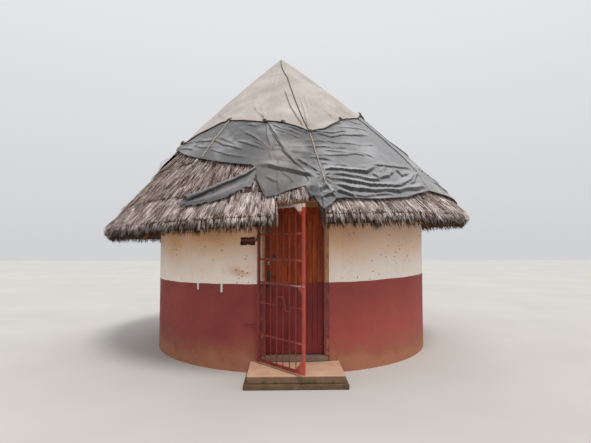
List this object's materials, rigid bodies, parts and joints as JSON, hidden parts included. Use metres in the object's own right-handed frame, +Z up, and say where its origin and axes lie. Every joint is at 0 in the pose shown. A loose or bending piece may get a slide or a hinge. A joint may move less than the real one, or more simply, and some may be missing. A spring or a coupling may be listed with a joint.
{
  "type": "rondavel hut",
  "caption": "Round hut with plastered walls, a leaning conical thatched roof under tied covers, a boarded door behind a steel gate, and a concrete doorstep.",
  "frame": {"origin": "centre of the floor slab's underside, on the wall's axis at the lowest ground the walls meet", "axes": "+Z up; -Y out through the door; +X to the right seen from outside the door"},
  "size_m": [6.4268, 6.4273, 5.3576],
  "materials": {
    "plaster": "painted cement plaster, cream above and red oxide below",
    "concrete": "rough cast concrete",
    "frame_timber": "painted and varnished timber",
    "door_timber": "varnished boards, red oxide paint at the foot",
    "steel_red": "red oxide paint, rubbed and rusty",
    "steel_bare": "bare dull steel",
    "pole_timber": "smoked gum poles",
    "thatch": "weathered thatching grass",
    "canvas": "weathered beige canvas",
    "tarpaulin": "dark grey woven plastic sheet",
    "pale_sheet": "pale woven plastic sheet",
    "rope": "twisted fibre rope"
  },
  "bodies": {
    "root": {"front_right_wall": "plaster", "right_wall": "plaster", "back_right_wall": "plaster", "back_left_wall": "plaster", "left_wall": "plaster", "front_left_wall": "plaster", "wall_over_door": "plaster", "door_threshold": "concrete", "door_lintel": "concrete", "floor_slab": "concrete", "step_footing": "concrete", "door_step": "concrete", "door_frame_left": "frame_timber", "door_frame_right": "frame_timber", "door_frame_head": "frame_timber", "gate_hinge_lugs": "steel_red", "rafters_front": "pole_timber", "rafters_right": "pole_timber", "rafters_back": "pole_timber", "rafters_left": "pole_timber", "crown_block": "pole_timber", "roof_laths": "pole_timber", "wall_plate": "pole_timber", "thatch_front": "thatch", "thatch_front_right": "thatch", "thatch_back_right": "thatch", "thatch_back": "thatch", "thatch_back_left": "thatch", "thatch_front_left": "thatch", "canvas_cap": "canvas", "tarpaulin_left": "tarpaulin", "tarpaulin_right": "tarpaulin", "tarpaulin_strip": "tarpaulin", "back_sheet": "pale_sheet", "apex_rope": "rope", "tie_rope_left": "rope", "tie_rope_right": "rope"},
    "door": {"door_stiles_and_rails": "door_timber", "door_boards": "door_timber", "door_hinges": "steel_bare", "door_lock": "steel_bare"},
    "gate": {"gate_frame": "steel_red", "gate_grille": "steel_red", "gate_gussets": "steel_red", "gate_bolt_guides": "steel_red"},
    "gate_bolt": {"gate_bolt": "steel_bare"}
  },
  "joints": [
    {"name": "door_hinge", "type": "hinge", "parent": "root", "child": "door", "pos_m": [0.4115, -2.2337, 0.242], "axis": [0, 0, -1], "range_deg": [0, 105]},
    {"name": "gate_hinge", "type": "hinge", "parent": "root", "child": "gate", "pos_m": [-0.51, -2.412, 0.189], "axis": [0, 0, -1], "range_deg": [-48.6, 5]},
    {"name": "bolt_slide", "type": "slide", "parent": "gate", "child": "gate_bolt", "axis": [0.6613, -0.7501, 0], "range_m": [-0.014, 0.05]}
  ]
}
